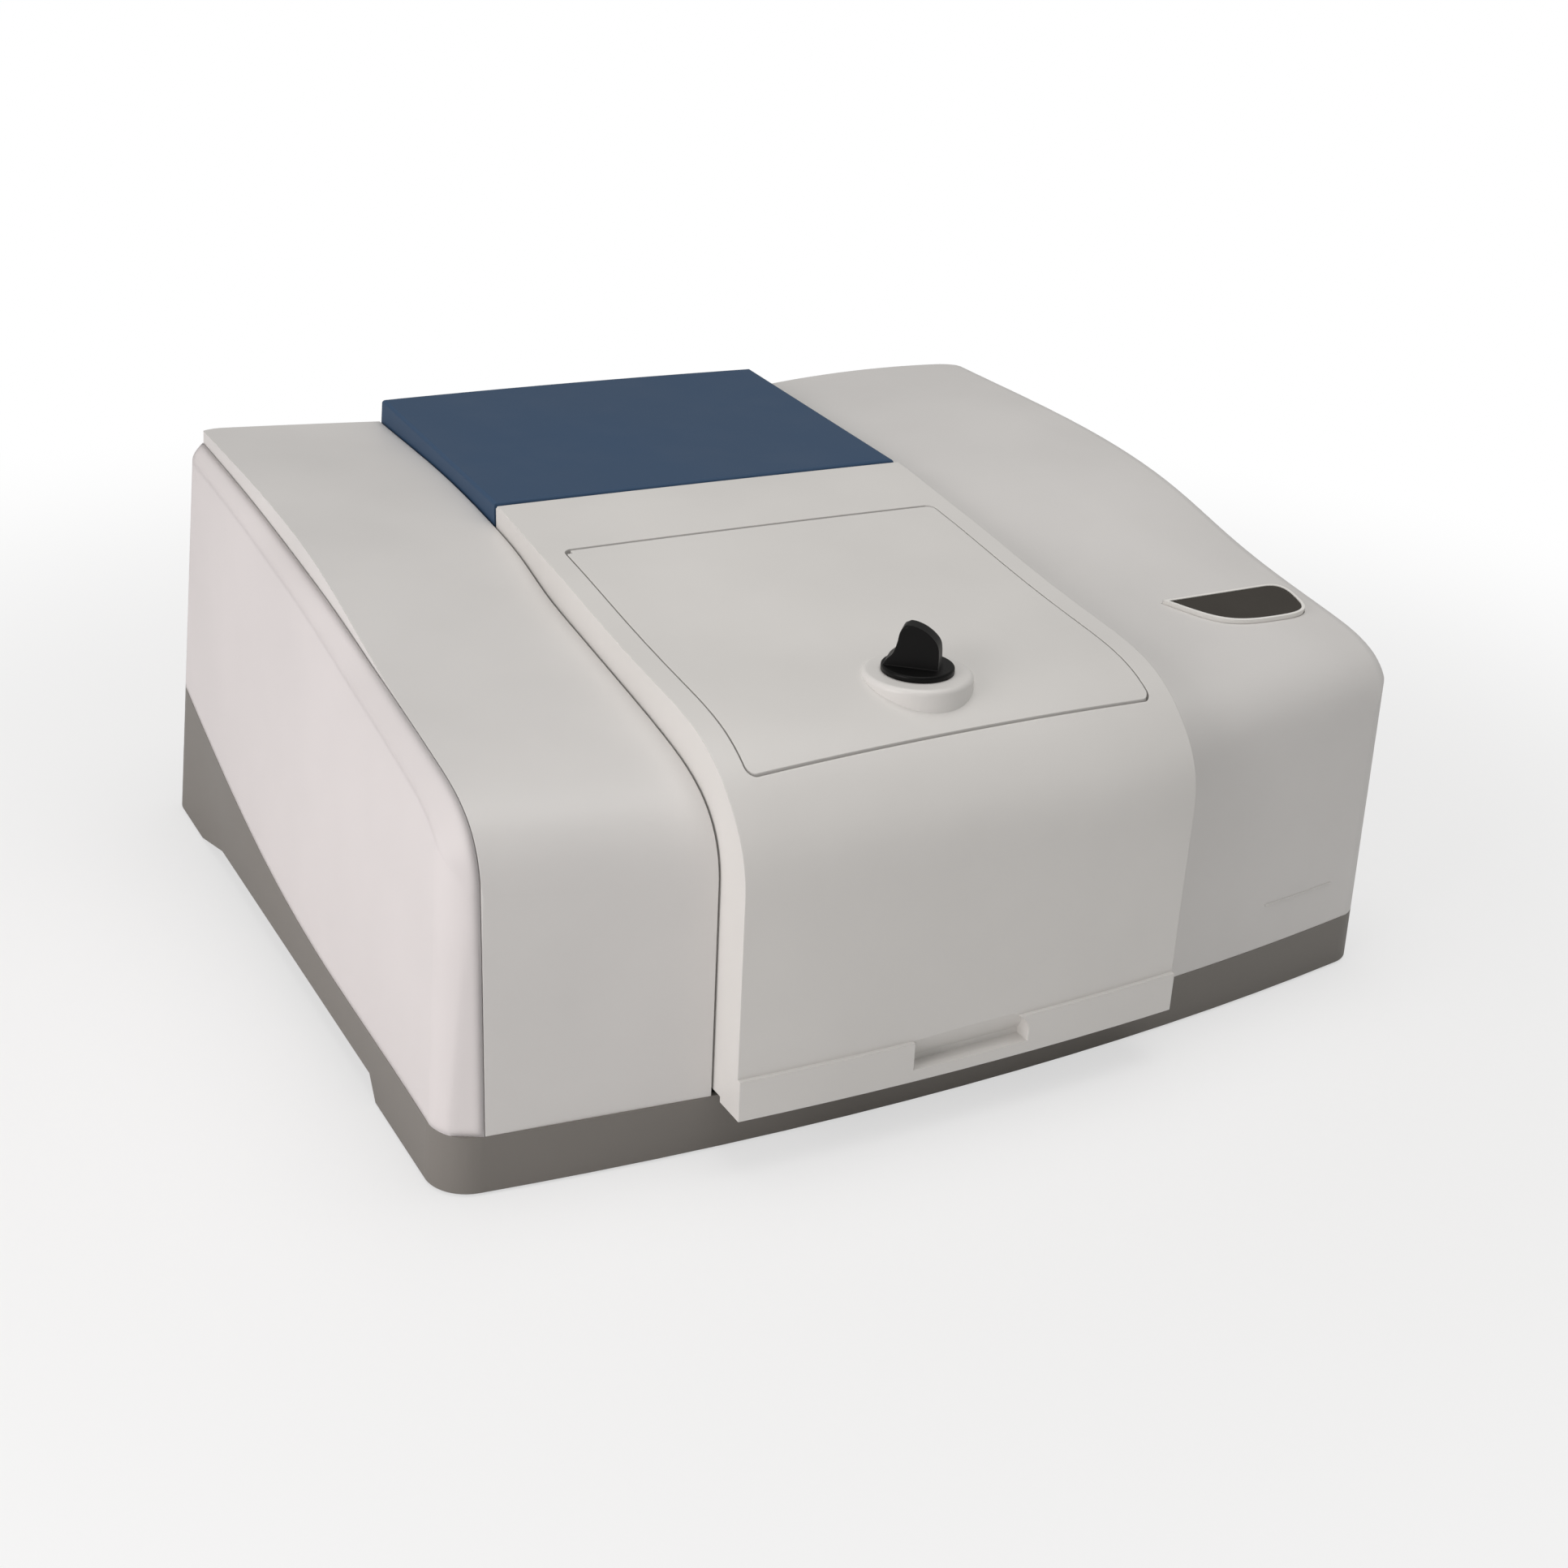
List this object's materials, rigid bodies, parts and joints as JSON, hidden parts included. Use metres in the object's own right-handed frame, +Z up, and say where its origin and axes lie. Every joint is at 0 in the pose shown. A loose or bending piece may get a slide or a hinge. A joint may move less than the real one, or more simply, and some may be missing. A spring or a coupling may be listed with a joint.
{
  "type": "fourier transform infrared spectrometer",
  "caption": "Bench-top infrared spectrometer: bowed housing on a grey tray, hinged sample lid with a latched hatch, rear service cover, and an interferometer, source and detector inside.",
  "frame": {"origin": "middle of the bounding box, on the bench under the feet", "axes": "+X to the viewer's right along the front, +Y from the front to the back, +Z up"},
  "size_m": [0.5398, 0.5207, 0.2484],
  "materials": {
    "cover_plastic": "fine satin moulded housing plastic, warm light grey",
    "lid_plastic": "fine satin moulded housing plastic, warm off-white",
    "tray_plastic": "satin moulded plastic, warm mid grey",
    "service_plastic": "satin moulded plastic, slate blue",
    "knob_plastic": "near-black plastic with a soft sheen",
    "black_plastic": "black moulded plastic",
    "card_plastic": "cream sample card stock",
    "foot_rubber": "black rubber",
    "seal_rubber": "black rubber",
    "panel_metal": "powder-coated sheet, light grey",
    "well_metal": "powder-coated sheet, near-black",
    "steel": "plain bright steel",
    "machined_aluminium": "machined aluminium",
    "cast_aluminium": "bead-blasted cast aluminium",
    "gold_mirror": "gold first-surface mirror",
    "brass": "turned brass",
    "copper_wire": "enamelled copper winding",
    "ceramic_white": "fired white ceramic",
    "board_green": "green circuit board with solder mask",
    "smoked_glass": "dark smoked acrylic window",
    "clear_glass": "polished infrared window"
  },
  "bodies": {
    "instrument": {"base_tray": "tray_plastic", "beam_windows": "clear_glass", "beamsplitter": "clear_glass", "beamsplitter_mount": "machined_aluminium", "bench_isolators": "seal_rubber", "board_standoffs": "brass", "collecting_mirror": "gold_mirror", "collecting_mirror_mount": "machined_aluminium", "data_port": "steel", "desiccant_canister": "machined_aluminium", "detector": "machined_aluminium", "detector_board": "board_green", "fan_frame": "black_plastic", "fan_guard": "steel", "fan_screws": "steel", "fixed_corner_cube": "gold_mirror", "fixed_cube_bracket": "machined_aluminium", "fuse_holder": "black_plastic", "guide_rods": "steel", "infrared_source": "ceramic_white", "interferometer_cover": "cast_aluminium", "interferometer_housing": "cast_aluminium", "laser_clamps": "machined_aluminium", "left_side_cover": "cover_plastic", "left_top_cover": "cover_plastic", "lid_hinge_brackets": "steel", "main_board": "board_green", "optical_bench": "cast_aluminium", "power_inlet": "black_plastic", "power_supply": "panel_metal", "power_switch_frame": "black_plastic", "rear_panel": "panel_metal", "reference_laser": "machined_aluminium", "right_top_cover": "cover_plastic", "rod_supports": "machined_aluminium", "rubber_feet": "foot_rubber", "sample_holder": "machined_aluminium", "sample_tub": "well_metal", "service_cover": "service_plastic", "source_housing": "cast_aluminium", "source_mirror": "gold_mirror", "status_board": "board_green", "status_window": "smoked_glass", "tub_seal": "seal_rubber", "voice_coil_magnet": "steel", "window_bezel": "lid_plastic", "window_rings": "machined_aluminium"},
    "lid": {"sample_lid": "lid_plastic", "lid_hinge_pins": "steel"},
    "hatch": {"sample_hatch": "lid_plastic", "hatch_hinge_pins": "steel"},
    "latch": {"latch_knob": "knob_plastic", "latch_cam": "steel"},
    "card": {"sample_card": "card_plastic"},
    "carriage": {"scan_carriage": "machined_aluminium", "moving_corner_cube": "gold_mirror", "voice_coil": "copper_wire"},
    "fan": {"fan_rotor": "black_plastic"},
    "rocker": {"power_rocker": "black_plastic"}
  },
  "joints": [
    {"name": "lid_hinge", "type": "hinge", "parent": "instrument", "child": "lid", "pos_m": [-0.0215, 0.0085, 0.22531], "axis": [-1, 0, 0], "range_deg": [0, 75]},
    {"name": "hatch_hinge", "type": "hinge", "parent": "lid", "child": "hatch", "pos_m": [-0.0215, -0.0445, 0.21807], "axis": [-1, 0, 0], "range_deg": [0, 75]},
    {"name": "latch_turn", "type": "hinge", "parent": "hatch", "child": "latch", "pos_m": [-0.0235, -0.1927, 0.2065], "axis": [0, 0, 1], "range_deg": [0, 90]},
    {"name": "card_slide", "type": "slide", "parent": "instrument", "child": "card", "axis": [0, 0, 1], "range_m": [0, 0.06]},
    {"name": "scan_slide", "type": "slide", "parent": "instrument", "child": "carriage", "axis": [0, 1, 0], "range_m": [-0.004, 0.004]},
    {"name": "fan_spin", "type": "hinge", "parent": "instrument", "child": "fan", "pos_m": [-0.062, 0.181, 0.14], "axis": [0, 1, 0], "continuous": true},
    {"name": "rocker_tilt", "type": "hinge", "parent": "instrument", "child": "rocker", "pos_m": [0.128, 0.1945, 0.12], "axis": [1, 0, 0], "range_deg": [0, 12]}
  ]
}
